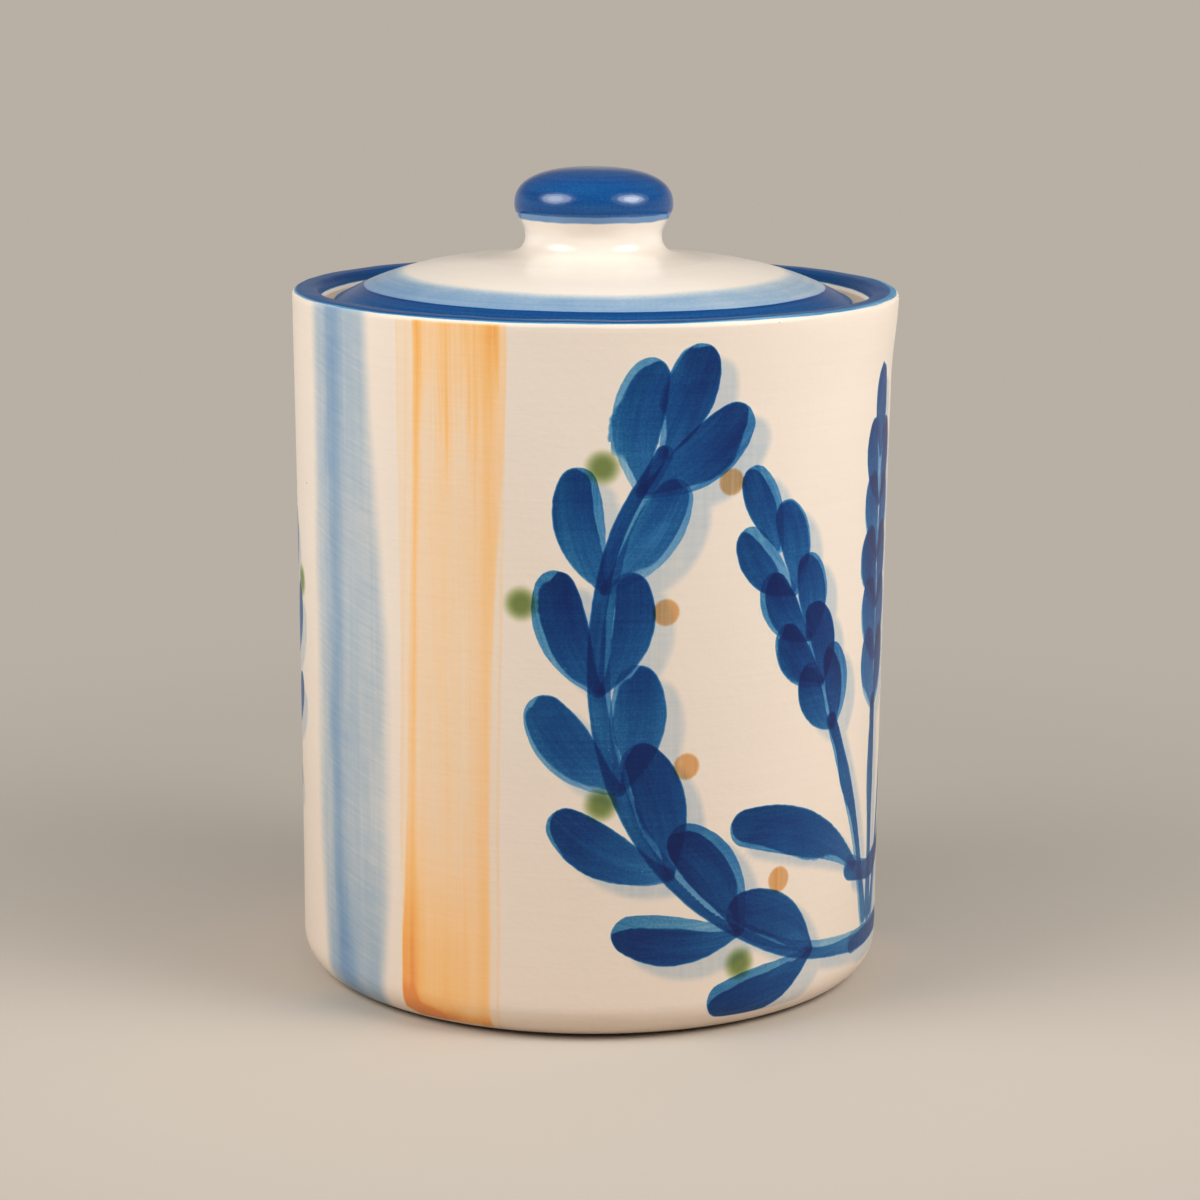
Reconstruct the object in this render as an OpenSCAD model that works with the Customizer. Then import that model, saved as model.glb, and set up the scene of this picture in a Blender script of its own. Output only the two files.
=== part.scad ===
// Stoneware flour canister: a round jar with a lid that sits inside its rim.
// Millimetres, +Z up, origin at the middle of the foot. Every piece is turned about Z.

/* [Jar] */
// Outer diameter at the rim
rim_d = 180; // [150:1:210]
// Outer diameter just above the rounded base
base_d = 176.4; // [146:0.2:204]
// Height from the table to the top of the rim
jar_h = 208; // [150:1:260]
// Thickness of the side wall
wall_t = 7.6; // [5:0.2:10]
// Thickness of the floor, above the hollow underside
floor_t = 6.5; // [5:0.5:12]
// Radius of the outer base edge
base_round = 11; // [6:0.5:16]
// Radius of the inner corner between wall and floor
floor_round = 14; // [6:0.5:20]
// How late the wall flares towards the rim, as the power of its curve
flare_power = 1.7; // [1.4:0.1:4]

/* [Foot] */
// Width of the bare ring that the jar stands on
foot_w = 7; // [4:0.5:12]
// How far the underside is hollowed above the foot
foot_hollow = 2.5; // [1:0.5:4]

/* [Mouth] */
// Width of the rim's top, from the outer wall to the gallery
rim_w = 8; // [6:0.5:11]
// Radius of the rim's outer edge
rim_edge = 1; // [0.5:0.1:2]
// Radius of the rim's inner edge
rim_inner_edge = 2.2; // [1:0.1:3]
// Depth of the ledge that carries the lid, below the rim's top
ledge_depth = 9; // [6:0.5:14]
// How much the gallery wall narrows from the rim down to the ledge
gallery_draft = 2.8; // [0:0.1:4]
// How far the ledge stands into the mouth
ledge_w = 7; // [5:0.5:10]
// Thickness of the ledge at its nose
ledge_t = 6; // [4:0.5:9]

/* [Lid] */
// Gap all round between the lid's edge and the foot of the gallery
lid_gap = 1.2; // [0.5:0.1:3]
// Height of the dome's crown above the rim's top
dome_rise = 9.5; // [4:0.1:20]
// Height of the dome's curve at the lid's edge, above the ledge
dome_edge_h = 5; // [4:0.1:8]
// How late the dome falls towards its edge, as the power of its curve
dome_power = 3.5; // [2:0.1:5]
// Thickness of the dome, under the knob's seat
dome_t = 8.5; // [5:0.5:10]
// Radius of the lid's upper edge
lid_edge = 2; // [1:0.1:3]
// Gap all round between the locating collar and the ledge's nose
collar_gap = 1; // [0.5:0.1:2]
// Thickness of the locating collar
collar_t = 5; // [4:0.5:7]
// How far the locating collar hangs below the ledge
collar_h = 8; // [4:0.5:14]

/* [Knob] */
// Diameter of the knob at its widest
knob_d = 47.5; // [42:0.5:56]
// Diameter of the neck at its narrowest
neck_d = 40.8; // [34:0.2:42]
// Radius of the hollow curve from the neck out to the dome
neck_round = 6.4; // [4:0.1:8]
// Height from the neck's narrowest ring to the knob's widest ring
throat_h = 8.9; // [6:0.1:14]
// Height from the knob's widest ring to its top
crown_h = 11.2; // [8:0.1:14]
// How square the knob's crown is, as the power of its curve
crown_power = 2.5; // [2:0.1:4]
// Thickness of the hollow knob's wall
knob_wall = 7; // [5:0.5:8]
// Depth of the seat in the dome that the knob is luted into
seat_depth = 1.5; // [1:0.1:2.5]
// Slip all round between the knob's foot and its seat
slip_gap = 0.2; // [0.1:0.1:0.5]
// Diameter of the firing vent under the knob
vent_d = 4; // [3:0.5:6]

/* [Hidden] */

cream = "#EFE2CE";
cobalt = "#1B4C8A";

wall_steps = 24;
dome_steps = 20;
knob_steps = 14;
edge_steps = 6;
round_steps = 10;

base_r = base_d / 2;
rim_r = rim_d / 2;
floor_z = foot_hollow + floor_t;
ledge_z = jar_h - ledge_depth;
gallery_r = rim_r - rim_w;
gallery_foot_r = gallery_r - gallery_draft;
nose_r = gallery_foot_r - ledge_w;

lid_r = gallery_foot_r - lid_gap;
crown_z = jar_h + dome_rise;
dome_fall = crown_z - ledge_z - dome_edge_h;
dome_edge_slope = atan(dome_fall * dome_power / lid_r);
collar_r = nose_r - collar_gap;
collar_in_r = collar_r - collar_t;
collar_z = ledge_z - collar_h;

neck_r = neck_d / 2;
knob_r = knob_d / 2;
knob_foot_r = neck_r + neck_round;
seat_r = knob_foot_r + slip_gap;
seat_z = dome_z(seat_r) - seat_depth;
neck_z = dome_z(seat_r) + neck_round;
belly_z = neck_z + throat_h;
knob_top_z = belly_z + crown_h;

// Points on an arc about [r, z], from one angle to another
function arc(r, z, radius, from, to, steps) =
    [for (i = [0:steps]) let (a = from + (to - from) * i / steps)
        [r + radius * cos(a), z + radius * sin(a)]];

// Smooth step from 0 to 1
function ease(t) = t * t * (3 - 2 * t);

// Outer radius of the jar's wall at height z
function wall_r(z) =
    base_r + (rim_r - base_r) * pow(max(0, z - base_round) / (jar_h - base_round), flare_power);

// Inner radius of the jar's wall at height z
function inside_r(z) = wall_r(z) - wall_t;

// Height of the lid's upper face at radius r
function dome_z(r) = crown_z - dome_fall * pow(r / lid_r, dome_power);

// Thrown jar with a gallery inside its rim and a trimmed foot ring below
module jar() {
    foot_r = base_r - base_round;
    shoulder_z = jar_h - rim_edge;
    under_ledge_z = ledge_z - ledge_t;
    brow_z = under_ledge_z - (inside_r(under_ledge_z) - nose_r);
    cove_z = floor_z + floor_round;

    outside = concat(
        arc(foot_r, base_round, base_round, -90, 0, round_steps),
        [for (i = [1:wall_steps - 1]) let (z = base_round + (shoulder_z - base_round) * i / wall_steps)
            [wall_r(z), z]],
        arc(wall_r(shoulder_z) - rim_edge, shoulder_z, rim_edge, 0, 90, edge_steps)
    );
    mouth = concat(
        arc(gallery_r + rim_inner_edge, jar_h - rim_inner_edge, rim_inner_edge, 90, 180, edge_steps),
        [[gallery_foot_r, ledge_z], [nose_r, ledge_z], [nose_r, under_ledge_z]]
    );
    inside = concat(
        [for (i = [0:wall_steps - 1]) let (z = brow_z + (cove_z - brow_z) * i / wall_steps) [inside_r(z), z]],
        arc(inside_r(cove_z) - floor_round, cove_z, floor_round, 0, -90, round_steps),
        [[0, floor_z]]
    );
    underside = [[0, foot_hollow], [foot_r - foot_w - foot_hollow, foot_hollow], [foot_r - foot_w, 0]];

    color(cream) rotate_extrude($fn = 180) polygon(concat(outside, mouth, inside, underside));
}

// Thrown lid: a dome with a flat seat on the ledge and a collar that keeps it in the mouth
module lid() {
    edge_r = lid_r - lid_edge * (1 - sin(dome_edge_slope));
    edge_z = dome_z(edge_r) - lid_edge * cos(dome_edge_slope);

    top = concat(
        [[vent_d / 2, seat_z], [seat_r, seat_z]],
        [for (i = [0:dome_steps - 1]) let (r = seat_r + (edge_r - seat_r) * i / dome_steps) [r, dome_z(r)]],
        arc(lid_r - lid_edge, edge_z, lid_edge, 90 - dome_edge_slope, 0, edge_steps)
    );
    seat = [[lid_r, ledge_z], [collar_r, ledge_z], [collar_r, collar_z], [collar_in_r, collar_z]];
    hollow = [for (i = [0:dome_steps]) let (r = collar_in_r + (vent_d / 2 - collar_in_r) * i / dome_steps)
        [r, dome_z(r) - dome_t - seat_depth]];

    color(cream) rotate_extrude($fn = 180) polygon(concat(top, seat, hollow));
}

// Hollow knob, luted into its seat on the dome
module knob() {
    hollow_r = neck_r - knob_wall;

    foot = arc(knob_foot_r, neck_z, neck_round, -90, -180, round_steps);
    throat = [for (i = [1:knob_steps]) let (t = i / knob_steps)
        [neck_r + (knob_r - neck_r) * ease(t), neck_z + throat_h * t]];
    crown = [for (i = [1:knob_steps]) let (a = 90 * i / knob_steps)
        [knob_r * pow(cos(a), 2 / crown_power), belly_z + crown_h * pow(sin(a), 2 / crown_power)]];
    hollow = [[0, knob_top_z - knob_wall], [hollow_r, belly_z], [hollow_r, seat_z]];

    color(cobalt) rotate_extrude($fn = 120)
        polygon(concat([[knob_foot_r, seat_z]], foot, throat, crown, hollow));
}

jar();
lid();
knob();
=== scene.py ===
import math

import bpy
import numpy as np
from mathutils import Matrix, Vector


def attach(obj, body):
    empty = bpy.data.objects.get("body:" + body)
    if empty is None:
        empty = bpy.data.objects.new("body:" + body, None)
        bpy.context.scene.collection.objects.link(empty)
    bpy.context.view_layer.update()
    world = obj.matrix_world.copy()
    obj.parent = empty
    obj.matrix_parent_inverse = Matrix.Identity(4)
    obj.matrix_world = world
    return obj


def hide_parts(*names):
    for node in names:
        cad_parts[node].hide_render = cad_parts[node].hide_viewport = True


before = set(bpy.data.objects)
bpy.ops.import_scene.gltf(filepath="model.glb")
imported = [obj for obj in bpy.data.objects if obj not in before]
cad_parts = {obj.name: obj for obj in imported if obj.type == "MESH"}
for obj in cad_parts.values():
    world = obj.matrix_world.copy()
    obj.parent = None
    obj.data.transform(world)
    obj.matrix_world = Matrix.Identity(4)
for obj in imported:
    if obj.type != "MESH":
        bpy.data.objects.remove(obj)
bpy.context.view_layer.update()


# The view. A long lens stands about a metre from the jar, a little above its rim.
# The painted front faces -Y, and the lens stands well round to the left of it.
scene = bpy.context.scene
scene.view_settings.view_transform = "Standard"

view_bearing, view_rise, view_roll = (math.radians(a) for a in (-72.0, 11.485, 0.335))
view_distance, view_height, view_aside = 1.045, 0.1121, 0.0026
film_width, lens_length, farthest_seen = 36.0, 102.65, 100


def direction(bearing, rise):
    """The way out from the jar at a bearing, counted from its front, and a rise above the table."""
    return Vector((math.sin(bearing) * math.cos(rise), -math.cos(bearing) * math.cos(rise), math.sin(rise)))


aside = Vector((math.cos(view_bearing), math.sin(view_bearing), 0))
away = direction(view_bearing, view_rise)
above = away.cross(aside)
level = aside * math.cos(view_roll) + above * math.sin(view_roll)
upright = above * math.cos(view_roll) - aside * math.sin(view_roll)
stand = Vector((0, 0, view_height)) + aside * view_aside + away * view_distance

lens = bpy.data.cameras.new("lens")
lens.sensor_width, lens.lens, lens.clip_end = film_width, lens_length, farthest_seen
camera = bpy.data.objects.new("camera", lens)
scene.collection.objects.link(camera)
camera.matrix_world = Matrix.Translation(stand) @ Matrix((level, upright, away)).transposed().to_4x4()
scene.camera = camera


# The jar. Pale stoneware, thrown in one piece with a rounded base, a trimmed foot ring and a gallery in its
# rim. It is painted by hand in cobalt and ochre under a satin clear glaze, with the foot and the ledge left
# bare. Painted shade darkens the gallery wall above the ledge, in the clay's colour, and the wall towards
# the foot. Sizes are in mm, as the potter reads them, and the wheel turns an outline of them into the pot.
MM = 0.001
rim_r, base_r, jar_h = 90.0, 88.2, 208.0
wall_t, base_round, flare_power = 7.6, 11.0, 1.7
foot_r, foot_w, foot_hollow = base_r - base_round, 7.0, 2.5
floor_z, floor_round, floor_flat_r = 9.0, 14.0, 40.0
rim_edge, rim_inner_edge, rim_crown_r, rim_crown = 2.0, 2.2, 86.4, 0.05
gallery_r, gallery_foot_r, nose_r = 82.0, 79.2, 72.2
ledge_z, under_ledge_z, below_brow_z = 199.0, 193.0, 170.0
hollow_round, foot_round, ledge_round, nose_round, brow_round = 3.0, 0.8, 0.9, 1.2, 3.0
out_of_round, rim_pull, rim_pull_bearing, rim_wave, throwing_seed = 0.25, 1.4, 18, 0.5, 3.0
jar_columns, wall_row = 420, 1.3


def wall_radius(z):
    """Outer radius of the wall: straight above the base and flaring late towards the rim."""
    return base_r + (rim_r - base_r) * (max(0.0, z - base_round) / (jar_h - base_round)) ** flare_power


def drawn(corners):
    """An outline through (radius, height, rounding) corners, each rounded by an arc that meets both sides."""
    points = [corners[0][:2]]
    for (ar, az, _), (r, z, rounding), (br, bz, _) in zip(corners, corners[1:], corners[2:]):
        corner = np.array((r, z))
        into, onto = np.array((ar, az)) - corner, np.array((br, bz)) - corner
        into, onto = into / np.hypot(*into), onto / np.hypot(*onto)
        half = math.acos(np.clip(into @ onto, -1, 1)) / 2
        if rounding <= 0 or half > math.radians(88):
            points.append((r, z))
            continue
        touch = rounding / math.tan(half)
        middle = corner + (into + onto) / np.hypot(*(into + onto)) * rounding / math.sin(half)
        start, end = corner + into * touch - middle, corner + onto * touch - middle
        turn = math.atan2(start[0] * end[1] - start[1] * end[0], start @ end)
        steps = max(3, round(abs(turn) / math.radians(15)))
        for a in np.linspace(0, turn, steps + 1):
            points.append((middle[0] + start[0] * math.cos(a) - start[1] * math.sin(a),
                           middle[1] + start[0] * math.sin(a) + start[1] * math.cos(a)))
    return points + [corners[-1][:2]]


def arc(r, z, radius, start, end, steps):
    """Points on an arc about (r, z), angles in degrees."""
    return [(r + radius * math.cos(a), z + radius * math.sin(a))
            for a in np.radians(np.linspace(start, end, steps + 1))]


shoulder_z = jar_h - rim_edge
brow_z = under_ledge_z - (wall_radius(under_ledge_z) - wall_t - nose_r)
cove_z = floor_z + floor_round
wall_rows = round((shoulder_z - base_round) / wall_row)

underside = drawn([(0, foot_hollow, 0), (foot_r - foot_w - foot_hollow, foot_hollow, hollow_round),
                   (foot_r - foot_w, 0, foot_round), (foot_r, 0, 0)])
outside = arc(foot_r, base_round, base_round, -90, 0, 12)[1:]
outside += [(wall_radius(z), z) for z in np.linspace(base_round, shoulder_z, wall_rows + 1)[1:-1]]
lip = arc(wall_radius(shoulder_z) - rim_edge, shoulder_z, rim_edge, 0, 90, 8)
rim_top = [(rim_crown_r, jar_h + rim_crown)]
rim_top += arc(gallery_r + rim_inner_edge, jar_h - rim_inner_edge, rim_inner_edge, 90, 175, 6)
mouth = drawn([rim_top[-1] + (0,), (gallery_foot_r, ledge_z, ledge_round), (nose_r, ledge_z, ledge_round),
               (nose_r, under_ledge_z, nose_round), (wall_radius(brow_z) - wall_t, brow_z, brow_round),
               (wall_radius(below_brow_z) - wall_t, below_brow_z, 0)])[1:-1]
inside = [(wall_radius(z) - wall_t, z) for z in np.linspace(brow_z - brow_round, cove_z, 12)]
inside += arc(inside[-1][0] - floor_round, cove_z, floor_round, 0, -90, 9)[1:]
flat_floor = [(floor_flat_r, floor_z), (0, floor_z)]
jar_outline = underside + outside + lip + rim_top + mouth + inside + flat_floor
wall_start = len(underside) - 1
wall_end = wall_start + len(outside) + len(lip)
inside_start = len(jar_outline) - len(flat_floor) - len(inside)
floor_start = len(jar_outline) - len(flat_floor) - 1


class Amount:
    """A number that flows through a node tree, so that a shape or a glaze reads as a plain sum."""

    def __init__(self, tree, socket):
        self.tree, self.socket = tree, socket

    def do(self, operation, *values):
        """One step of arithmetic, on the values given or on this number alone."""
        return put(self.tree, "ShaderNodeMath", values or (self,), operation=operation)

    def __add__(self, other):
        return self.do("ADD", self, other)

    def __radd__(self, other):
        return self.do("ADD", other, self)

    def __sub__(self, other):
        return self.do("SUBTRACT", self, other)

    def __rsub__(self, other):
        return self.do("SUBTRACT", other, self)

    def __mul__(self, other):
        return self.do("MULTIPLY", self, other)

    def __rmul__(self, other):
        return self.do("MULTIPLY", other, self)

    def __truediv__(self, other):
        return self.do("DIVIDE", self, other)

    def __pow__(self, power):
        return self.do("POWER", self, power)

    def __abs__(self):
        return self.do("ABSOLUTE", self)

    def at_least(self, lowest):
        return self.do("MAXIMUM", self, lowest)

    def at_most(self, highest):
        return self.do("MINIMUM", self, highest)

    def lets_through(self, depth=1.0):
        """The share of light left by this much pigment; depth is the amount that leaves about a third."""
        return (self * (-1.0 / depth)).do("EXPONENT")

    def ramp(self, low, high):
        """0 below low and 1 above high, smooth between; a high below low turns it round."""
        if high < low:
            return 1.0 - self.ramp(high, low)
        return put(self.tree, "ShaderNodeMapRange", (self, low, high, 0.0, 1.0),
                   interpolation_type="SMOOTHSTEP")

    def line(self, middle, half):
        """A soft line: 1 at its middle, falling to 0 at half its width."""
        return abs(self - middle).ramp(half, 0.0)


def put(tree, kind, inputs=(), out=0, **settings):
    """A new node with its settings and inputs, numbers or other nodes' outputs; gives one of its outputs."""
    node = tree.nodes.new(kind)
    for name, value in settings.items():
        setattr(node, name, value)
    for key, value in inputs.items() if isinstance(inputs, dict) else enumerate(inputs):
        if isinstance(value, Amount):
            tree.links.new(value.socket, node.inputs[key])
        else:
            node.inputs[key].default_value = value
    return Amount(tree, node.outputs[out])


def joined(tree, *numbers):
    """A vector of three numbers."""
    return put(tree, "ShaderNodeCombineXYZ", numbers)


def parts(vector):
    """The three numbers of a vector."""
    first = put(vector.tree, "ShaderNodeSeparateXYZ", (vector,))
    return [Amount(vector.tree, socket) for socket in first.socket.node.outputs]


def wheel():
    """The tree that turns an outline in the XZ plane about Z, slightly out of round as a hand throws it."""
    tree = bpy.data.node_groups.new("wheel", "GeometryNodeTree")
    asked = {}
    for name, kind in (("Outline", "Geometry"), ("Columns", "Int"), ("Out of round", "Float"),
                       ("Rim pull", "Float"), ("Rim pull bearing", "Float"), ("Rim wave", "Float"),
                       ("Rim height", "Float"), ("Seed", "Float"), ("Glaze", "Material")):
        socket = tree.interface.new_socket(name, in_out="INPUT", socket_type="NodeSocket" + kind)
        asked[name] = socket.identifier
    tree.interface.new_socket("Ware", in_out="OUTPUT", socket_type="NodeSocketGeometry")
    given = tree.nodes.new("NodeGroupInput")
    ask = {name: Amount(tree, given.outputs[name]) for name in asked}

    def unevenness(way, scale, detail):
        """Noise about 0 that follows the seed."""
        settings = {"Vector": way, "W": ask["Seed"], "Scale": scale, "Detail": detail}
        return put(tree, "ShaderNodeTexNoise", settings, noise_dimensions="4D") - 0.5

    rows = put(tree, "GeometryNodeAttributeDomainSize", (ask["Outline"],))
    across = ask["Columns"] + 1.0
    sheet = put(tree, "GeometryNodeMeshGrid", (1.0, 1.0, rows, across))
    index = put(tree, "GeometryNodeInputIndex")
    row = ((index + 0.5) / across).do("FLOOR")
    bearing = (index - row * across) / ask["Columns"] * math.tau
    sine, cosine = bearing.do("SINE"), bearing.do("COSINE")
    here = put(tree, "GeometryNodeInputPosition")
    place = put(tree, "GeometryNodeSampleIndex", (ask["Outline"], here, row), data_type="FLOAT_VECTOR")
    radius, _, height = parts(place)
    sheet = put(tree, "GeometryNodeStoreNamedAttribute", {"Geometry": sheet, "Name": "row", "Value": row},
                data_type="FLOAT", domain="POINT")

    # The whole piece swells a little, one side of the rim is drawn out, and the top of the rim waves.
    swell = unevenness(joined(tree, sine, cosine, height * 7.0), 0.9, 1.0)
    swell = swell * 2.0 * ask["Out of round"] * radius.ramp(0.0, 0.03)
    lobe = (bearing - ask["Rim pull bearing"]).do("COSINE").ramp(0.2, 1.0)
    below_rim = height - ask["Rim height"]
    pulled = lobe * below_rim.ramp(-0.026, -0.001) * radius.ramp(0.078, 0.084) * ask["Rim pull"]
    out = radius + swell + pulled
    wave = unevenness(joined(tree, sine, cosine, 0.0), 3.2, 2.0)
    wave = wave * 2.0 * below_rim.ramp(-0.012, -0.002) * radius.ramp(0.0805, 0.083) * ask["Rim wave"]

    spun = joined(tree, out * sine, out * cosine * -1.0, height + wave)
    ware = put(tree, "GeometryNodeSetPosition", {"Geometry": sheet, "Position": spun})
    ware = put(tree, "GeometryNodeMergeByDistance", {"Geometry": ware, "Distance": 1e-5})
    ware = put(tree, "GeometryNodeSetShadeSmooth", {"Geometry": ware, "Shade Smooth": True})
    ware = put(tree, "GeometryNodeRealizeInstances", (ware,))
    ware = put(tree, "GeometryNodeSetMaterial", {"Geometry": ware, "Material": ask["Glaze"]})
    tree.links.new(ware.socket, tree.nodes.new("NodeGroupOutput").inputs[0])
    return tree, asked


wheel_tree, wheel_inputs = wheel()


def throw(name, outline, columns, finish, pull=0.0):
    """A piece turned from its outline, (radius, height) in mm: a plain mesh, and its vertices' rows."""
    path = bpy.data.meshes.new(name + "_outline")
    points = [(r * MM, 0, z * MM) for r, z in outline]
    path.from_pydata(points, [(i, i + 1) for i in range(len(points) - 1)], [])
    blank = bpy.data.objects.new(name + "_outline", path)
    scene.collection.objects.link(blank)
    turning = blank.modifiers.new("wheel", "NODES")
    turning.node_group = wheel_tree
    settings = {"Columns": columns, "Out of round": out_of_round * MM, "Rim pull": pull * MM,
                "Rim pull bearing": math.radians(rim_pull_bearing), "Rim wave": rim_wave * MM,
                "Rim height": jar_h * MM, "Seed": throwing_seed, "Glaze": finish}
    for key, value in settings.items():
        turning[wheel_inputs[key]] = value
    graph = bpy.context.evaluated_depsgraph_get()
    mesh = bpy.data.meshes.new_from_object(blank.evaluated_get(graph), depsgraph=graph)
    blank.modifiers.remove(turning)
    bpy.data.objects.remove(blank)
    mesh.name = name
    rows = np.empty(len(mesh.vertices), np.float32)
    mesh.attributes["row"].data.foreach_get("value", rows)
    mesh.attributes.remove(mesh.attributes["row"])
    piece = bpy.data.objects.new(name, mesh)
    scene.collection.objects.link(piece)
    return piece, rows


def lay_flat(piece, rows):
    """The layout for the jar's colour map: the wall unrolled in two half turns, and strips beside them."""
    mesh = piece.data
    at = np.empty(len(rows) * 3, np.float32)
    corner = np.empty(len(mesh.loops), np.int32)
    sides = np.empty(len(mesh.polygons), np.int32)
    mesh.vertices.foreach_get("co", at)
    mesh.loops.foreach_get("vertex_index", corner)
    mesh.polygons.foreach_get("loop_total", sides)
    face = np.repeat(np.arange(len(sides)), sides)
    x, y, _ = at.reshape(-1, 3).T / MM

    def of_face(values):
        return np.bincount(face, values[corner]) / sides

    turn = (np.arctan2(of_face(x), -of_face(y)) + math.pi / 2) % math.tau
    off = (np.arctan2(x, -y)[corner] + math.pi / 2 - turn[face] + math.pi) % math.tau - math.pi
    bearing = turn[face] + np.where(np.hypot(x, y)[corner] < 0.01, 0, off)
    run = np.concatenate([[0], np.cumsum(np.hypot(*np.diff(jar_outline, axis=0).T))])
    reach = np.interp(rows, np.arange(len(run)), run)[corner]
    row = of_face(rows)[face]

    flat = np.zeros((len(corner), 2))
    margin, strip_height = 0.005, 0.99
    strips = ((0, wall_start, 0.68, 0.75), (wall_end, inside_start, 0.76, 0.82),
              (inside_start, floor_start, 0.83, 0.95), (floor_start, len(run) - 1, 0.96, 0.995))
    for first, last, left, right in strips:
        here = (row > first) & (row < last)
        share = (reach[here] - run[first]) / (run[last] - run[first])
        up = margin + strip_height * bearing[here] / math.tau
        flat[here] = np.stack([left + (right - left) * share, up], 1)

    wall_right, wall_width, half_pitch, half_height = 0.665, 0.66, 0.5, 0.49
    here = (row > wall_start) & (row < wall_end)
    half = turn[face][here] // math.pi
    share = (reach[here] - run[wall_start]) / (run[wall_end] - run[wall_start])
    over = wall_right - wall_width * (bearing[here] / math.pi - half)
    flat[here] = np.stack([over, margin + half * half_pitch + half_height * share], 1)
    mesh.uv_layers.new(name="OFBake").uv.foreach_set("vector", flat.astype(np.float32).ravel())


# The brushwork: loaded round-brush strokes. A stroke is a spine with half widths, its load of cobalt and the
# side of the jar that it is on. It is laid out flat, in mm: along the wall from the panel's middle, and up
# from the foot.
wrap_r = 88.5
jar_coats, stroke_gap = 5, 400.0
FRONT, REAR = 0, 1
hand = np.random.default_rng(11)


def comma(start, heading, length, width, turn, load=1.0, side=FRONT):
    """A comma stroke: drawn thin out of the stem, swelling, and set down round and wet at its far end."""
    steps, thin, fullest, blunting = 18, 0.26, 0.72, 0.22
    bends = np.radians(heading + turn * (np.arange(steps) + 0.5) / steps)
    path = np.cumsum(np.stack([np.cos(bends), np.sin(bends)], 1), 0) * (length - 0.35 * width) / steps
    spine = np.vstack([[0, 0], path]) + start
    t = np.linspace(0, 1, steps + 1)
    half = 0.5 * width * (thin + (1 - thin) * np.sin(np.pi / 2 * np.minimum(1, t / fullest)) ** 1.3)
    return spine, half * (1 - blunting * np.clip((t - fullest) / (1 - fullest), 0, 1) ** 2), load, side


def stalk(points, width, load=1.0, side=FRONT):
    """A long stroke of nearly even width through its points."""
    p = np.array(points, float)
    p = np.vstack([2 * p[0] - p[1], p, 2 * p[-1] - p[-2]])
    t = np.linspace(0, 1, 14, endpoint=False)[:, None]
    legs = []
    for a, b, c, d in zip(p[:-3], p[1:-2], p[2:-1], p[3:]):
        legs.append(0.5 * (2 * b + (c - a) * t + (2 * a - 5 * b + 4 * c - d) * t ** 2
                           + (3 * b - a - 3 * c + d) * t ** 3))
    spine = np.vstack(legs + [p[-2:-1]])
    half = 0.5 * width * (0.9 + 0.1 * np.cos(np.linspace(0, 9, len(spine))))
    return spine, half, load, side


def along(spine, share):
    """A place on a spine at a share of its length, and the heading there in degrees."""
    legs = np.diff(spine, axis=0)
    run = np.concatenate([[0], np.cumsum(np.hypot(*legs.T))])
    at = share * run[-1]
    leg = legs[min(np.searchsorted(run, at, side="right") - 1, len(legs) - 1)]
    place = np.array([np.interp(at, run, spine[:, i]) for i in (0, 1)])
    return place, math.degrees(math.atan2(leg[1], leg[0]))


def aim(heading, reach=1.0):
    """A step of a length in a heading, in degrees."""
    return reach * np.array([math.cos(math.radians(heading)), math.sin(math.radians(heading))])


def by_hand(spread):
    """How far a stroke strays from what was meant, either way."""
    return hand.uniform(-spread, spread)


def flipped(stroke):
    """The stroke's twin on the other side of the panel's middle."""
    spine, half, load, side = stroke
    return spine * (-1, 1), half, load, side


def bough(points, first_leaf, pairs, leaf_length, leaf_width, side=FRONT):
    """A stem with pairs of leaves from a share of its length on, and the joints where dabs go."""
    stem = stalk(points, 0.43 * leaf_width, 1.0 + by_hand(0.1), side)
    made, joints = [stem], []
    shares = np.linspace(first_leaf, 0.95, pairs)
    for i, share in enumerate(shares):
        place, heading = along(stem[0], share)
        for turned in (1, -1):
            made.append(comma(place, heading + turned * (44 + by_hand(5)),
                              leaf_length * (1 + by_hand(0.07)), leaf_width * (1 + by_hand(0.07)),
                              -turned * (36 + by_hand(8)), 1 + by_hand(0.28), side))
        if i % 2 == 0:
            between, heading = along(stem[0], share + 0.8 * (shares[1] - shares[0]))
            joints.append((between + aim(heading - 90, 9), between + aim(heading + 90, 9), side))
    end, heading = along(stem[0], 1.0)
    made.append(comma(end, heading, leaf_length * 0.85, leaf_width * 0.95, 12, 1.1, side))
    return made, joints


def ear(points, pairs, pitch=15.5):
    """An ear of grain: a stalk, pairs of plump grains and one at the tip."""
    stalk_width, grain_length, grain_width, tip_width = 6.2, 26, 12.5, 12
    stem = stalk(points, stalk_width, 0.95 + by_hand(0.1))
    place, heading = along(stem[0], 1.0)
    made = [stem]
    for i in range(pairs):
        for turned in (1, -1):
            made.append(comma(place + aim(heading, pitch * i - 2), heading + turned * (42 + by_hand(4)),
                              grain_length + by_hand(1.5), grain_width + by_hand(0.7),
                              -turned * (50 + by_hand(6)), 1 + by_hand(0.28)))
    return made + [comma(place + aim(heading, pitch * pairs - 3), heading, grain_length, tip_width, 0, 1.1)]


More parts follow.
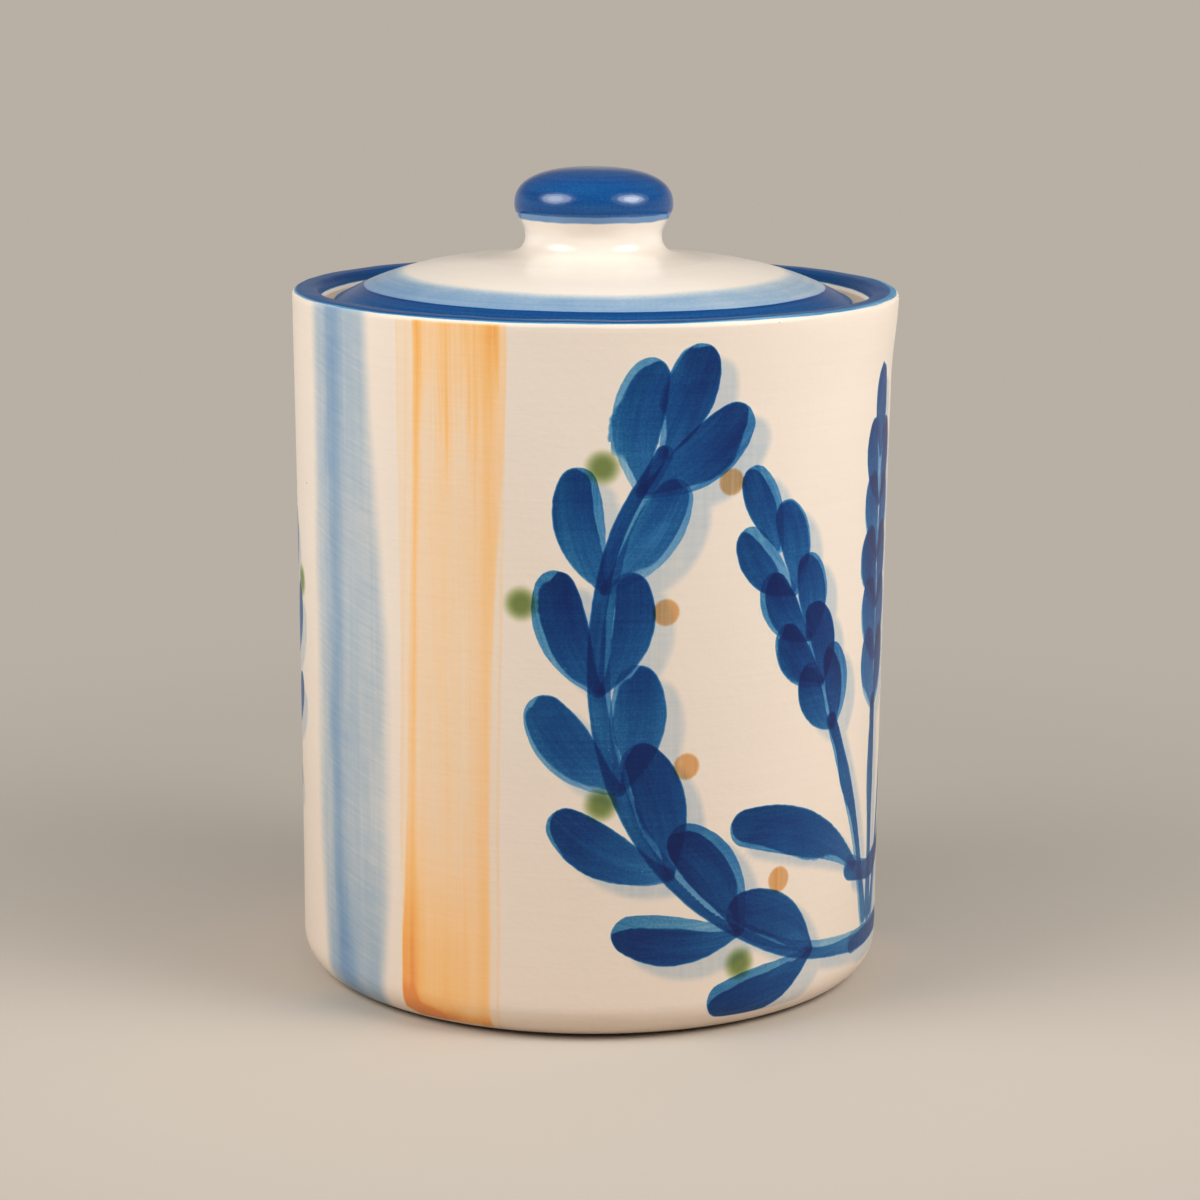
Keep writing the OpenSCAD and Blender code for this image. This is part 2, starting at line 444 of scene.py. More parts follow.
front_bough = [(14, 16), (-18, 17), (-52, 24), (-84, 45), (-103, 75), (-109, 110), (-104, 146), (-91, 171)]
back_bough = [(6, 56), (-12, 57), (-27, 70), (-34, 96), (-31, 122), (-21, 144)]
strokes, joints = bough(front_bough, first_leaf=0.22, pairs=7, leaf_length=38, leaf_width=15.5)
strokes += ear([(-5, 22), (-15, 54), (-30, 88)], pairs=4)
strokes.append(comma((-14, 40), heading=140, length=60, width=14.5, turn=34))
back_strokes, back_joints = bough(back_bough, first_leaf=0.2, pairs=5, leaf_length=24, leaf_width=10.5,
                                  side=REAR)
strokes, joints = strokes + back_strokes, joints + back_joints
strokes += [flipped(stroke) for stroke in strokes]
strokes += ear([(0, 22), (0, 56), (0, 88)], pairs=5)
strokes.append(stalk([(-17, 40), (0, 36), (17, 40)], width=8, load=1.05))


def stroke_field(places, stroke):
    """How deep places lie inside a stroke, how far off its spine and along it, and its length, in mm."""
    spine, half = stroke[:2]
    best, off, far = (np.full(len(places), value) for value in (-99.0, 0.0, 0.0))
    run = 0.0
    for a, b, wa, wb in zip(spine[:-1], spine[1:], half[:-1], half[1:]):
        leg = b - a
        length = np.hypot(*leg)
        k = np.clip((places - a) @ leg / length ** 2, 0, 1)
        away_from = places - a - k[:, None] * leg
        depth = wa + (wb - wa) * k - np.hypot(*away_from.T)
        nearer = depth > best
        best[nearer] = depth[nearer]
        off[nearer] = ((leg[0] * away_from[:, 1] - leg[1] * away_from[:, 0]) / length)[nearer]
        far[nearer] = (run + k * length)[nearer]
        run += length
    return best, off, far, run


def nestled(near, side, r):
    """The centre of a dab that just touches the strokes, as near as can be to where it is wanted."""
    tries = np.array([near + aim(a, d) for d in np.arange(0, 15, 1.0) for a in range(0, 360, 20)])
    depth = np.max([stroke_field(tries, stroke)[0] for stroke in strokes if stroke[3] == side], axis=0)
    return tries[np.argmin(np.abs(depth + 0.75 * r) + 0.06 * np.hypot(*(tries - near).T))]


orange_r, green_r = 4.0, 4.2
orange, green = [], []
for orange_near, green_near, side in joints:
    for spots, near, r in ((orange, orange_near, orange_r), (green, green_near, green_r)):
        x, z = nestled(near, side, r)
        spots += [(x, z, r, side), (-x, z, r, side)]


def paint(piece):
    """Lays the strokes, their pale shadow and the dabs on the jar. Strokes that cross are separate coats."""
    mesh = piece.data
    at = np.empty(len(mesh.vertices) * 3, np.float32)
    mesh.vertices.foreach_get("co", at)
    x, y, z = at.reshape(-1, 3).T / MM
    outer = np.hypot(x, y) > wall_radius(0) - 2
    flat = [np.stack([wrap_r * np.arctan2(x, -y), z], 1), np.stack([wrap_r * np.arctan2(-x, y), z], 1)]
    margin, wash_margin, shadow_by, shadow_reach = 2.0, 6.0, np.array([5.5, -4.5]), 12
    coats = [np.tile(np.float32((-margin, 0, 0)), (len(x), 1)) for _ in range(jar_coats)]
    loads = [np.zeros(len(x), np.float32) for _ in range(jar_coats)]
    taken = [np.zeros(len(x), bool) for _ in range(jar_coats)]
    wash = np.full(len(x), -wash_margin, np.float32)
    for number, stroke in enumerate(strokes):
        spine, half, load, side = stroke
        low = spine.min(0) - half.max() - shadow_reach
        high = spine.max(0) + half.max() + shadow_reach
        near = np.flatnonzero(outer & ((flat[side] > low) & (flat[side] < high)).all(1))
        depth, off, far, run = stroke_field(flat[side][near], stroke)
        wash[near] = np.maximum(wash[near], stroke_field(flat[side][near] - shadow_by, stroke)[0])
        wet = depth > -margin
        here = near[wet]
        coat = int(np.argmin([taken[i][here].sum() for i in range(jar_coats)]))
        deeper = depth[wet] > coats[coat][here, 0]
        here = here[deeper]
        coats[coat][here] = np.stack([depth[wet], off[wet], far[wet] + stroke_gap * number], 1)[deeper]
        loads[coat][here] = (load * (0.72 + 0.7 * (far[wet] / run) ** 1.5))[deeper]
        taken[coat][here] = True

    dabs = np.full((len(x), 3), -wash_margin, np.float32)
    for column, spots in enumerate((orange, green)):
        for sx, sz, r, side in spots:
            depth = r - np.hypot(*(flat[side] - (sx, sz)).T)
            dabs[:, column] = np.where(outer, np.maximum(dabs[:, column], depth), dabs[:, column])
    dabs[:, 2] = wash
    for i in range(jar_coats):
        mesh.attributes.new(f"coat_{i}", "FLOAT_VECTOR", "POINT").data.foreach_set("vector", coats[i].ravel())
        mesh.attributes.new(f"load_{i}", "FLOAT", "POINT").data.foreach_set("value", loads[i])
    mesh.attributes.new("dabs", "FLOAT_VECTOR", "POINT").data.foreach_set("vector", dabs.ravel())


# The glazes. Each pigment stains the cream by soaking up light, red, green and blue, so coats that overlap
# turn darker, as in the kiln. A pigment below 0 brightens the cream.
cream = (0.845, 0.724, 0.610)
# The clay colour is partly painted shade: it is darkened so that the gallery's gap under the rim reads
# shaded. The foot and the lid's seat share it.
clay_and_gap_shade = (0.56, 0.46, 0.36)
cobalt, cobalt_full, cobalt_thin = (3.6, 1.58, 0.74), 3.0, 0.5
pale_blue = (3.6, 2.05, 0.66)
ochre, ochre_full = (0.0, 0.265, 1.0), 2.05
ochre_warm, ochre_warm_full = (-0.19, 0.015, 0.0), 0.6
ochre_deep, ochre_deep_power = (0.0022, 0.0052, 0.0), 6.0
orange_dab, green_dab = (0.25, 0.8, 1.6), (1.6, 1.2, 2.3)
iron_speck = (1.6, 2.0, 2.4)
# The neck's painted light lightens the cream of the knob's neck, which the crown shades.
cool_cream, neck_painted_light = (0.04, 0.02, 0.01), (-0.1, -0.135, -0.175)
# The foot shade tint is painted shade: how much darker and warmer the cream turns towards the jar's foot.
cloud_tint, foot_shade_tint = (0.05, 0.08, 0.12), (0.02, 0.055, 0.085)


def noise(tree, way, detail, rough):
    """Noise about 0 along a vector."""
    settings = {"Vector": way, "Scale": 1.0, "Detail": detail, "Roughness": rough}
    return put(tree, "ShaderNodeTexNoise", settings) - 0.5


class Glaze:
    """A glazed clay surface: the places that paint is laid by, and the coats of pigment laid so far."""

    def __init__(self, name):
        self.material = bpy.data.materials.new(name)
        self.material.use_nodes = True
        self.tree = self.material.node_tree
        self.tree.nodes.clear()
        place = put(self.tree, "ShaderNodeTexCoord", out="Object")
        self.x, self.y, self.z = (p * (1 / MM) for p in parts(place))
        self.radius = self.radius_from(0.0, 0.0)
        self.bearing = self.x.do("ARCTAN2", self.x, self.y * -1.0) * math.degrees(1)
        self.coats = []

    def radius_from(self, left, front):
        """The distance in mm from an upright axis this far to the left of the middle and in front of it."""
        x = self.x + left if left else self.x
        y = self.y + front if front else self.y
        return (x * x + y * y) ** 0.5

    def grain(self, across, up, detail=2.0, seed=0.0, rough=0.55):
        """Noise about 0, by waves per mm across the piece and up it."""
        way = joined(self.tree, self.x * across + seed, self.y * across + seed, self.z * up)
        return noise(self.tree, way, detail, rough)

    def rings(self, across, around, detail=2.0, seed=0.0):
        """Noise about 0 in streaks that run round the piece."""
        inwards = self.radius * across + self.z * across
        way = joined(self.tree, self.x * around + seed, self.y * around, inwards)
        return noise(self.tree, way, detail, 0.55)

    def attribute(self, name, out):
        """What was painted on the mesh under a name."""
        return put(self.tree, "ShaderNodeAttribute", out=out, attribute_name=name)

    def stain(self, pigment, amount):
        """Lays a coat of pigment."""
        self.coats.append((pigment, amount))

    def specks(self, size, spacing, share, seed):
        """Scattered specks, by their radius and spacing in mm and the share of the places that have one."""
        way = joined(self.tree, self.x + seed, self.y, self.z)
        cell = put(self.tree, "ShaderNodeTexVoronoi", {"Vector": way, "Scale": 1 / spacing})
        cell_colour = Amount(self.tree, cell.socket.node.outputs["Color"])
        lot = put(self.tree, "ShaderNodeSeparateColor", (cell_colour,))
        return (cell * spacing).ramp(size * 1.3, size * 0.7) * lot.ramp(1 - share, 1 - share + 0.001)

    def fire(self, roughness, shine, bare_and_shade=None, relief=0.16):
        """Sums the coats into the colour with painted shade towards the foot, and sets the gloss and the
        faint unevenness of the glaze.
        """
        tooth = self.grain(1.5, 1.7, 2.0, 7.0)
        lathe = self.grain(0.02, 1.3, 3.0, 11.0, 0.6)
        cloud = self.grain(0.018, 0.018, 2.0, 3.0)
        # Painted shade: the cream turns darker and warmer down the wall towards the foot.
        foot_shade = self.z.ramp(150.0, 0.0)
        self.stain(iron_speck, self.specks(0.28, 9.0, 0.05, 0.0) * 0.7)
        blue = sum(amount for pigment, amount in self.coats if pigment is cobalt)
        blue = blue * (1.0 + tooth * 0.7 + lathe * 0.5) * (1.0 - self.specks(0.2, 4.0, 0.1, 50.0) * 0.6)
        blue = cobalt_full * (1.0 - blue.lets_through(cobalt_full))
        covers = 1.0 - blue.lets_through(cobalt_thin)
        colour = []
        for channel, hue in enumerate(("red", "green", "blue")):
            soak = blue * cobalt[channel]
            if hue == "blue":  # thin cobalt lets this one past
                soak = soak * covers
            for pigment, amount in self.coats:
                if pigment is not cobalt:
                    soak = soak + amount * pigment[channel]
            body = cream[channel] * (1.0 + cloud * cloud_tint[channel] + lathe * 0.06
                                     - foot_shade * foot_shade_tint[channel])
            colour.append(body * soak.lets_through())
        shown = put(self.tree, "ShaderNodeCombineColor", colour)
        rough = roughness + cloud * 0.08
        height = self.grain(0.35, 0.5, 2.0, 1.0) + lathe * 0.3
        # Bare clay, in a colour darkened as painted shade. In the jar's gallery the mask carries painted
        # shade as well.
        if bare_and_shade is not None:
            grit = self.grain(1.6, 1.6, 3.0, 9.0)
            biscuit_and_shade = put(self.tree, "ShaderNodeCombineColor", [part * (1.0 + grit * 0.35) for part in clay_and_gap_shade])
            first_colour, second_colour, mixed_colour = 6, 7, 2
            shown = put(self.tree, "ShaderNodeMix",
                        {"Factor": bare_and_shade, first_colour: shown, second_colour: biscuit_and_shade},
                        out=mixed_colour, data_type="RGBA")
            rough = rough + bare_and_shade * 0.55
            height = height + bare_and_shade * grit * 0.8
        bump = put(self.tree, "ShaderNodeBump", {"Strength": relief, "Distance": 0.0005, "Height": height})
        surface = put(self.tree, "ShaderNodeBsdfPrincipled",
                      {"Base Color": shown, "Roughness": rough, "Normal": bump, "IOR": 1.5,
                       "Specular IOR Level": shine})
        self.tree.links.new(surface.socket, self.tree.nodes.new("ShaderNodeOutputMaterial").inputs[0])
        return self.material


glaze = Glaze("jar_glaze")
height = glaze.z / jar_h
mm_per_degree = math.radians(1) * wrap_r
round_mm = abs(glaze.bearing) * mm_per_degree
edge_wander = glaze.grain(0.02, 0.05, 3.0, 5.0) * 1.6
wall_foot_r = wall_radius(0) - 3.5
on_wall = (glaze.radius - wall_foot_r + glaze.z.ramp(14.0, 6.0) * 8.0).ramp(0.0, 1.5)
on_wall = on_wall * glaze.z.ramp(207.6, 207.0)

# The pale blue stripe beside each panel: one broad, nearly dry pull of a flat brush, soft at both sides.
# Its sides and those of the ochre are in degrees round the jar from the panel's middle.
blue_side_in, blue_side_out = 113.6, 136.6
blue_in = blue_side_in * mm_per_degree + height.ramp(0.45, 1.0) * 7.0 + height.ramp(0.2, 0.0) * 3.0
blue_in = blue_in + edge_wander
blue_out = blue_side_out * mm_per_degree - height.ramp(0.6, 1.0) * 1.2 - height.ramp(0.25, 0.0) * 5.0
blue_out = blue_out + edge_wander
from_blue_out = blue_out - round_mm
in_blue = (round_mm - blue_in).ramp(-3.0, 3.4) * from_blue_out.ramp(-3.2, 4.0)
in_blue = in_blue * on_wall * (glaze.z + edge_wander).ramp(0.9, 2.0)
hairs = glaze.grain(0.55, 0.012, 4.0, 2.0, 0.7)
weft = glaze.grain(0.06, 0.9, 3.0, 4.0, 0.65)
slant = joined(glaze.tree, glaze.bearing * 0.09, glaze.z * 0.8 + glaze.bearing * 0.3, 2.0)
hatch = noise(glaze.tree, slant, 3.0, 0.65)
patches = glaze.grain(0.07, 0.022, 2.0, 12.0)
heavy = (from_blue_out + patches * 9.0).line(11.5, 6.5) * 0.13
spent = from_blue_out.ramp(14.0, 25.0) * 0.042 + from_blue_out.ramp(9.0, 2.0) * 0.045
blue_load = 0.2 + hairs * 0.13 + hatch * 0.17 + patches * 0.2 + heavy + height.ramp(0.7, 1.0) * 0.05 - spent
glaze.stain(pale_blue, in_blue * (blue_load.at_least(0.05) + glaze.z.ramp(60.0, 4.0) * 0.085))

# The ochre stripe next to it: a fuller pull in soft bands, with stray hairs along each side, golden where
# the brush was set down at the rim, and the colour run together at the foot.
ochre_side_in, ochre_side_out = 89.6, 110.2
top, low_down, at_foot = height.ramp(0.45, 1.0), height.ramp(0.36, 0.1), height.ramp(0.38, 0.05)
ochre_in = ochre_side_in * mm_per_degree - height * 3.8 - low_down * 0.8 + edge_wander * 0.7
ochre_out = ochre_side_out * mm_per_degree - height.ramp(0.3, 1.0) * 3.4 + edge_wander
from_out, from_in = ochre_out - round_mm, round_mm - ochre_in
bands = glaze.grain(0.24, 0.009, 3.0, 8.0)
streaks = glaze.grain(0.9, 0.01, 4.0, 8.0, 0.7)

outer_hairs = (from_out + top * 3.0).ramp(-0.3, 0.5) * from_out.ramp(3.6, 2.6)
outer_hairs = outer_hairs * (0.2 + low_down * 0.25) * (1.0 - at_foot)
outer_hairs = outer_hairs + from_out.line(0.7, 0.8) * 0.16 * (1.0 - at_foot)
outer_hairs = outer_hairs + (from_out + top * 2.6).line(0.0, 0.7) * top * 0.14
inner_hairs = from_in.ramp(-0.3, 0.2) * from_in.ramp(3.6, 2.6) * 0.1
inner_hairs = inner_hairs + from_in.line(0.5, 0.7) * 0.24 * (1.0 - top * 0.8)
inner_side = (from_in + height.ramp(0.5, 0.95) * 3.4).ramp(2.4, 3.6) * from_in.ramp(-0.4, 0.4)
body_of_ochre = (from_out + at_foot * 2.8).ramp(2.6, 3.4) * inner_side

inside_edge = from_in.ramp(0.8, 3.6)
set_down = (height + bands * 0.5 + streaks * 0.3).ramp(0.78, 1.06) * inside_edge * 0.62
fuller_up = 0.3 + height.ramp(0.3, 0.8) * 0.35 + height.ramp(0.8, 1.0) * 0.6
along_in = (from_in + bands * 6.0 + streaks * 8.0).ramp(9.5, 3.5) * inside_edge * fuller_up * 0.62
along_out = from_out.line(4.6, 2.0) * (0.5 + top * 0.2) * (1.0 - low_down * 0.75)
along_out = along_out + (from_out + streaks * 3.0).ramp(9.5, 3.4) * low_down * 0.75
thin_lane = from_out.line(9.5, 4.5) * height.ramp(0.7, 0.98) * 0.45
run_down = height.ramp(0.26, 0.04) * from_in.ramp(4.0, 16.0) * 0.42
pool = from_out.ramp(21.0, 6.0) * (glaze.z + patches * 14.0 + streaks * 6.0).ramp(14.0, 4.0) * 0.75
foot_line = (glaze.z + patches * 10.0 + from_out * 0.03).ramp(8.5, 4.5) * (0.7 + hairs)

ochre_load = 0.38 + bands * 0.65 + streaks * 0.7 + weft * 0.2 + set_down + along_in + along_out
ochre_load = ochre_load + low_down * 0.25 + from_in.line(5.2, 2.4) * 0.16 - thin_lane + run_down
ochre_load = ochre_load.at_least(0.23) + pool + foot_line
ochre_ends = on_wall * (glaze.z + edge_wander - from_out.ramp(5.0, 0.0) * 2.0).ramp(1.6, 2.6)
ochre_ends = ochre_ends * glaze.z.ramp(207.0, 206.4)
ochre_load = (body_of_ochre * ochre_load + (outer_hairs + inner_hairs) * (1.0 + streaks)) * ochre_ends
ochre_load = ochre_load.at_most(ochre_full)
glaze.stain(ochre, ochre_load)
glaze.stain(ochre_warm, ochre_load.at_most(ochre_warm_full))
glaze.stain(ochre_deep, ochre_load ** ochre_deep_power)

# The rim: a band of cobalt laid with the jar on the wheel, thin at its outer edge and run over the inner one.
rim_load, rim_streaks = 2.2, glaze.rings(0.9, 0.02, 3.0, 2.0) * 1.6
outer_lip = glaze.radius.ramp(86.0, 86.5)
rim_line = glaze.z + glaze.grain(0.06, 0.0, 2.0, 6.0) * 0.5
inner_band = (1.0 - outer_lip) * rim_line.ramp(204.9, 205.5) * glaze.radius.ramp(78.0, 79.0)
on_rim = outer_lip * rim_line.ramp(207.3, 207.55) + inner_band
thin_edge = outer_lip * glaze.radius.ramp(88.5, 89.2) * 1.5
glaze.stain(cobalt, on_rim * (rim_load + rim_streaks - thin_edge))

# The brushwork, coat by coat: hairs run along each stroke, its edge is thin and its wet end is dark.
for i in range(jar_coats):
    depth, off, far = parts(glaze.attribute(f"coat_{i}", "Vector"))
    load = glaze.attribute(f"load_{i}", "Fac")
    hair = noise(glaze.tree, joined(glaze.tree, off * 0.85, far * 0.03, 3.0 * i), 3.0, 0.6)
    flow = noise(glaze.tree, joined(glaze.tree, off * 0.1, far * 0.035, 3.0 * i + 1.5), 1.0, 0.5)
    depth = depth + glaze.grain(0.25, 0.25, 1.0, 2.0) * 0.5
    stroke_number = (far / stroke_gap).do("FLOOR")
    lot = put(glaze.tree, "ShaderNodeTexWhiteNoise", {"W": stroke_number + 7.0 * i}, noise_dimensions="1D")
    lean = off * ((lot * 7.0).do("SINE") + 0.45).do("SIGN")
    uncovered = 0.2 + lean.ramp(-1.5, 2.0) * (lot * 2.6 + flow * 9.0)
    first_coat = depth.ramp(-0.12, 0.2) * (0.62 + hair * 0.7)
    second_coat = (depth - uncovered).ramp(-0.25, 0.5) * (1.3 + flow * 1.9 + hair * 0.6)
    glaze.stain(cobalt, load * (first_coat + second_coat))
orange_in, green_in, wash_in = parts(glaze.attribute("dabs", "Vector"))
glaze.stain(pale_blue, wash_in.ramp(-1.2, 1.6) * (0.115 + weft * 0.08 + hairs * 0.1 + patches * 0.12))
glaze.stain(orange_dab, orange_in.ramp(-0.3, 0.7) * (0.95 + hairs))
glaze.stain(green_dab, green_in.ramp(-1.8, 2.6))

foot_bare = glaze.z.ramp(0.9, 0.3) * glaze.radius.ramp(68.5, 70.0)
# Painted shade: the ledge is left bare, and the gallery wall above it, up to the rim's band, takes the dark
# clay colour as the shade of the gap under the rim.
bare_ledge_and_gallery_shade = glaze.z.ramp(198.2, 198.6) * glaze.z.ramp(204.4, 203.6)
bare_ledge_and_gallery_shade = bare_ledge_and_gallery_shade * glaze.radius.ramp(82.6, 82.2) * glaze.radius.ramp(72.0, 72.8)
jar_finish = glaze.fire(roughness=0.34, shine=0.26, bare_and_shade=foot_bare + bare_ledge_and_gallery_shade)

jar, jar_rows = throw("jar_ware", jar_outline, jar_columns, jar_finish, rim_pull)
lay_flat(jar, jar_rows)
paint(jar)
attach(jar, "jar")
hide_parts("jar")


# The lid. Thrown in one as a low dome with a flat seat and a collar below that keeps it in the mouth.
# Cream glaze, with a pale blue ring and a dark cobalt ring laid on the turning wheel, and a bare seat.
lid_r, crown_z, dome_fall, dome_power, dome_t = 78.0, 217.5, 13.5, 3.5, 8.5
collar_r, collar_in_r, collar_z = 71.2, 66.2, 191.0
knob_foot_r, knob_gap, seat_depth, vent_r = 26.8, 0.2, 1.5, 2.0
lid_edge, lid_edge_lift, lid_edge_start, seat_edge, seat_corner = 2.0, 0.35, 1.2, 0.6, 0.8
collar_edge, collar_corner, corner_reach, under_reach = 1.4, 2.5, 12, 14
lid_columns, dome_rows, under_rows = 240, 34, 14


def dome_height(r):
    """Height of the dome's outer face."""
    return crown_z - dome_fall * (r / lid_r) ** dome_power


def under_dome(r):
    """Height of the dome's inner face, which lies deeper by the knob's seat."""
    return dome_height(r) - dome_t - seat_depth


seat_r = knob_foot_r + knob_gap
seat_z = dome_height(seat_r) - seat_depth
dome = [(r, dome_height(r)) for r in np.linspace(seat_r, lid_r - lid_edge_start, dome_rows)]
edge = drawn([dome[-2] + (0,), (lid_r, dome_height(lid_r) + lid_edge_lift, lid_edge),
              (lid_r, ledge_z, seat_edge), (collar_r, ledge_z, seat_corner),
              (collar_r, collar_z, collar_edge), (collar_in_r, collar_z, collar_edge),
              (collar_in_r, under_dome(collar_in_r), collar_corner),
              (collar_in_r - corner_reach, under_dome(collar_in_r - corner_reach), 0)])
hollow_side = [(r, under_dome(r)) for r in np.linspace(collar_in_r - under_reach, vent_r, under_rows)]
lid_outline = [(vent_r, seat_z), (seat_r, seat_z)] + dome[:-1] + edge[1:] + hollow_side + [(vent_r, seat_z)]

glaze = Glaze("lid_glaze")
upper = (glaze.z - 202.0).ramp(0.0, 1.5)
waver = glaze.grain(0.03, 0.0, 2.0, 2.0) * 1.4
streak = glaze.rings(0.9, 0.012, 4.0, 1.0)
fade = glaze.grain(0.015, 0.0, 1.0, 4.0).ramp(-0.12, 0.15)
tooth = glaze.grain(0.9, 0.9, 2.0, 14.0)
pale_radius, dark_radius = glaze.radius_from(2.6, 0.85), glaze.radius_from(0.45, 0.57)
pale_ring = (pale_radius + waver + fade * 1.2 + tooth * 0.9).ramp(56.4, 61.6)
pale_ring = pale_ring * (dark_radius + waver * 0.6).ramp(69.9, 69.1)
pale_load = 0.3 - glaze.x * 0.0003 + glaze.y * 0.001 + streak * 0.2 + glaze.grain(0.05, 0.05, 2.0, 6.0) * 0.2
pale_load = pale_load + glaze.radius.ramp(60.0, 69.0) * 0.05 + tooth * 0.12
dark_ring = (dark_radius + waver * 0.6).ramp(68.8, 69.4) * (glaze.radius + waver * 0.3).ramp(77.9, 77.5)
glaze.stain(cool_cream, 1.0)
glaze.stain(pale_blue, upper * pale_ring * pale_load)
glaze.stain(cobalt, upper * dark_ring * (2.2 + streak * 1.1))
seat_bare = glaze.z.line(ledge_z, 0.7).ramp(0.0, 0.4) * glaze.radius.ramp(71.4, 72.2)
lid_finish = glaze.fire(roughness=0.24, shine=0.28, bare_and_shade=seat_bare, relief=0.06)

lid, _ = throw("lid_ware", lid_outline, lid_columns, lid_finish)
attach(lid, "lid")
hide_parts("lid")


# The knob. A hollow mushroom, thrown by itself, set into a shallow seat on the dome with slip and fired with
# the lid. Glossy cobalt covers its crown, over a thin pale blue line and a cream neck that runs out into the
# dome. The neck's cream is painted lighter, as light under the crown's shade.
neck_r, neck_round, knob_r = 20.4, 6.4, 23.75
throat_h, crown_h, crown_power, knob_wall = 8.9, 11.2, 2.5, 7.0
slip_r, slip_sunk, flare_late, slip_gap, skirt_tuck = 40.0, 0.015, 3, 0.02, 0.4
knob_columns, flare_rows, throat_rows, crown_rows = 240, 30, 15, 31
neck_z = dome_height(seat_r) + neck_round
belly_z = neck_z + throat_h
knob_top_z = belly_z + crown_h

hollow = [(0, knob_top_z - knob_wall), (neck_r - knob_wall, belly_z), (neck_r - knob_wall, seat_z + slip_gap)]
skirt = [(knob_foot_r, seat_z + slip_gap), (knob_foot_r, dome_height(knob_foot_r) - skirt_tuck),
         (slip_r, dome_height(slip_r) - skirt_tuck)]
flare = [(neck_r + (slip_r - neck_r) * s * s, neck_round * (1 - s) ** flare_late - slip_sunk * s)
         for s in np.linspace(1, 0, flare_rows)]
flare = [(r, dome_height(max(r, seat_r)) + over) for r, over in flare]
throat = [(neck_r + (knob_r - neck_r) * t * t * (3 - 2 * t), neck_z + throat_h * t)
          for t in np.linspace(0, 1, throat_rows)[1:]]
crown = [(knob_r * math.cos(a) ** (2 / crown_power), belly_z + crown_h * math.sin(a) ** (2 / crown_power))
         for a in np.linspace(0, math.pi / 2, crown_rows)[1:-1]]
knob_outline = hollow + skirt + flare + throat + crown + [(0, knob_top_z)]

glaze = Glaze("knob_glaze")
waver = glaze.grain(0.08, 0.0, 2.0, 3.0) * 0.9
streak = glaze.rings(0.8, 0.03, 3.0, 5.0)
on_crown = (glaze.z + waver).ramp(230.5, 231.1)
thin_line = (glaze.z + waver * 1.4).ramp(228.6, 229.2) * (1.0 - on_crown)
glaze.stain(cool_cream, 1.0)
# Painted light: the neck and the top of its flare are lightened where the crown shades them.
glaze.stain(neck_painted_light, glaze.z.ramp(219.5, 224.0))
glaze.stain(cobalt, on_crown * (2.2 + streak * 0.9))
glaze.stain(pale_blue, thin_line * 0.53)
glossier_up = glaze.z.ramp(219.0, 227.0) * 0.12
knob_finish = glaze.fire(roughness=0.24 - glossier_up, shine=0.55, relief=0.06)

knob, _ = throw("knob_ware", knob_outline, knob_columns, knob_finish)
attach(knob, "lid")
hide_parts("knob")


# The studio. A plain pale floor runs to the horizon under a dim sky. Two soft boxes stand in front of the
# jar, one on each side, each brighter towards its middle, where its lamp and the lamp's bulb are.
floor_r, floor_sides, floor_drop = 14, 64, 0.0002
floor_colour, far_colour = (0.52, 0.455, 0.385, 1), (0.48, 0.43, 0.375, 1)
sky_colour, sky_low, sky_high = (0.97, 1, 1.02, 1), 0.06, 0.25
box_rise, box_aim_z, box_w, box_h = math.radians(36), 0.11, 1.0, 0.92


def in_view(tree):
    """1 for what the camera sees, straight or in a reflection or through glass."""
    straight, mirrored, through = (put(tree, "ShaderNodeLightPath", out=f"Is {way} Ray")
                                   for way in ("Camera", "Glossy", "Transmission"))
    return straight + mirrored + through


floor_mesh = bpy.data.meshes.new("floor")
ring = [(floor_r * math.cos(a), floor_r * math.sin(a), -floor_drop)
        for a in np.linspace(0, math.tau, floor_sides, endpoint=False)]
floor_mesh.from_pydata(ring, [], [list(range(floor_sides))])
floor = bpy.data.objects.new("floor", floor_mesh)
scene.collection.objects.link(floor)

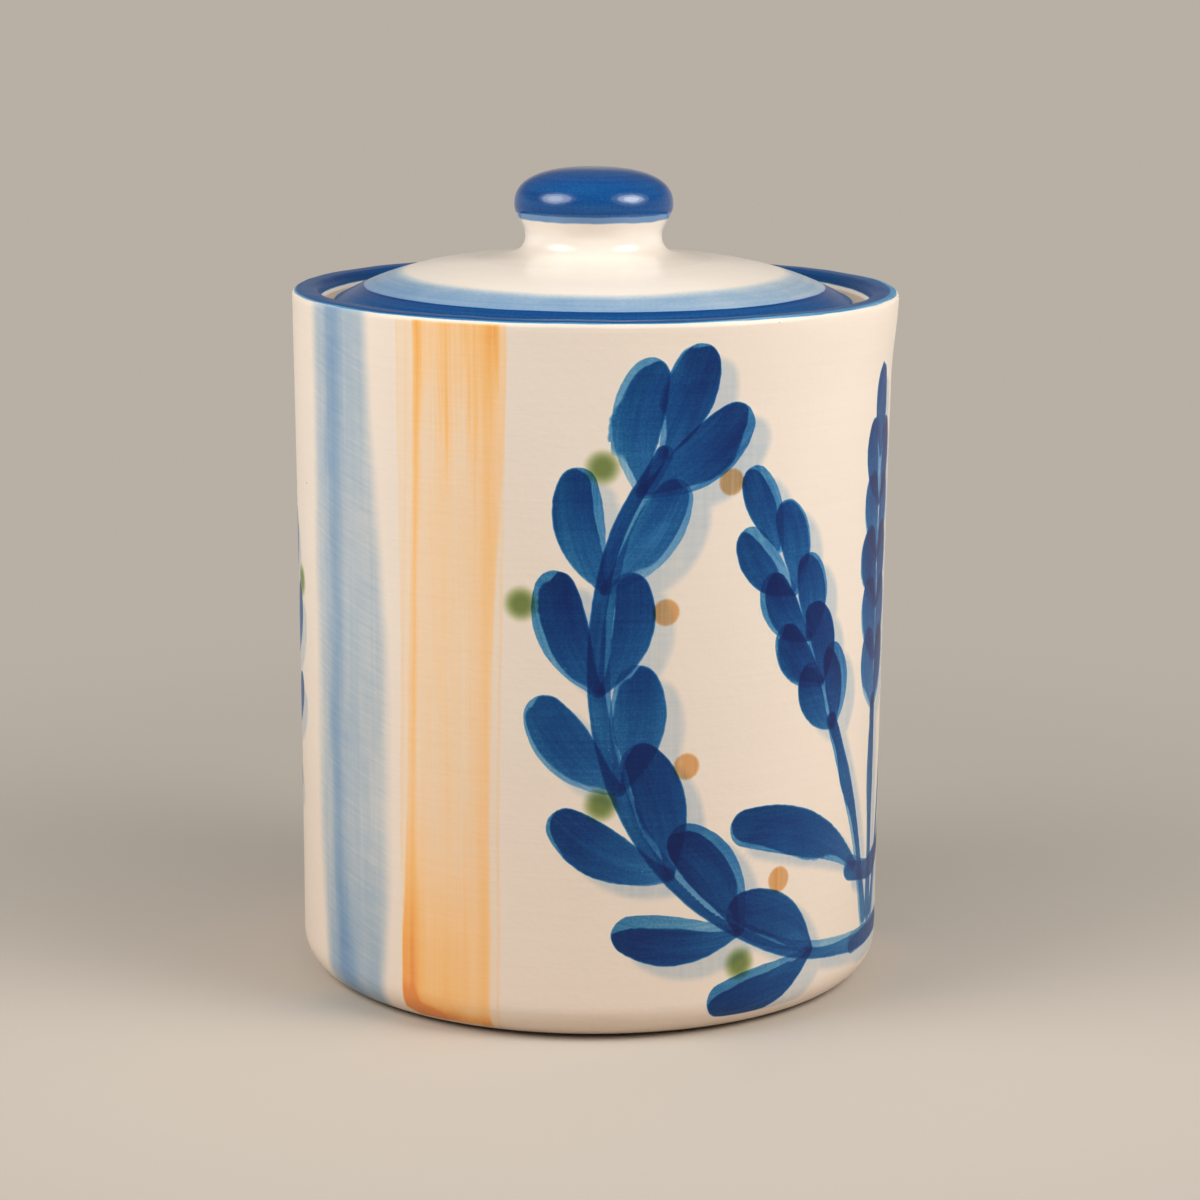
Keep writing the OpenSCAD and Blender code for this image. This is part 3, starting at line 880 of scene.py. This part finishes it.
paper = bpy.data.materials.new("paper")
paper.use_nodes = True
paper_tree = paper.node_tree
paper_tree.nodes.clear()
floor_x, floor_y, _ = parts(put(paper_tree, "ShaderNodeTexCoord", out="Object"))
far_off = ((floor_x * floor_x + floor_y * floor_y) ** 0.5).ramp(0.12, 0.5)
tooth = put(paper_tree, "ShaderNodeTexNoise", {"Scale": 600.0, "Detail": 2.0})
near_paper = put(paper_tree, "ShaderNodeBsdfPrincipled",
                 {"Base Color": floor_colour, "Roughness": 0.85 + tooth * 0.1, "Specular IOR Level": 0.2})
far_paper = put(paper_tree, "ShaderNodeEmission", {"Color": far_colour, "Strength": 1.0})
paper_face = put(paper_tree, "ShaderNodeMixShader", (in_view(paper_tree) * far_off, near_paper, far_paper))
paper_tree.links.new(paper_face.socket, paper_tree.nodes.new("ShaderNodeOutputMaterial").inputs[0])
floor_mesh.materials.append(paper)

# Each light by its bearing from the lens in degrees, its distance, its share of the box's size and its watts.
lights = (("left_box", -62, 1.0, 1.0, 1.9),
          ("left_lamp", -62, 0.95, 0.7, 4.6),
          ("left_bulb", -62, 0.9, 0.36, 1.0),
          ("right_box", 62, 1.0, 1.0, 2.2),
          ("right_lamp", 62, 0.95, 0.62, 4.25),
          ("right_bulb", 62, 0.9, 0.34, 1.6))
for name, swing, distance, size, power in lights:
    soft = bpy.data.lights.new(name, "AREA")
    soft.shape, soft.size, soft.size_y, soft.energy = "ELLIPSE", box_w * size, box_h * size, power
    soft_box = bpy.data.objects.new(name, soft)
    scene.collection.objects.link(soft_box)
    towards = direction(view_bearing + math.radians(swing), box_rise)
    soft_box.location = Vector((0, 0, box_aim_z)) + towards * distance
    soft_box.rotation_euler = towards.to_track_quat("Z", "Y").to_euler()

sky = bpy.data.worlds.new("sky")
sky.use_nodes = True
sky_tree = sky.node_tree
sky_tree.nodes.clear()
_, _, up = parts(put(sky_tree, "ShaderNodeTexCoord", out="Generated"))
dim = put(sky_tree, "ShaderNodeBackground",
          {"Color": sky_colour, "Strength": sky_low + up.ramp(-0.1, 1.0) * sky_high})
pale = put(sky_tree, "ShaderNodeBackground",
           {"Color": far_colour, "Strength": 1.0 - up.ramp(0.02, 0.4) * 0.65})
sky_face = put(sky_tree, "ShaderNodeMixShader", (in_view(sky_tree), dim, pale))
sky_tree.links.new(sky_face.socket, sky_tree.nodes.new("ShaderNodeOutputWorld").inputs[0])
scene.world = sky
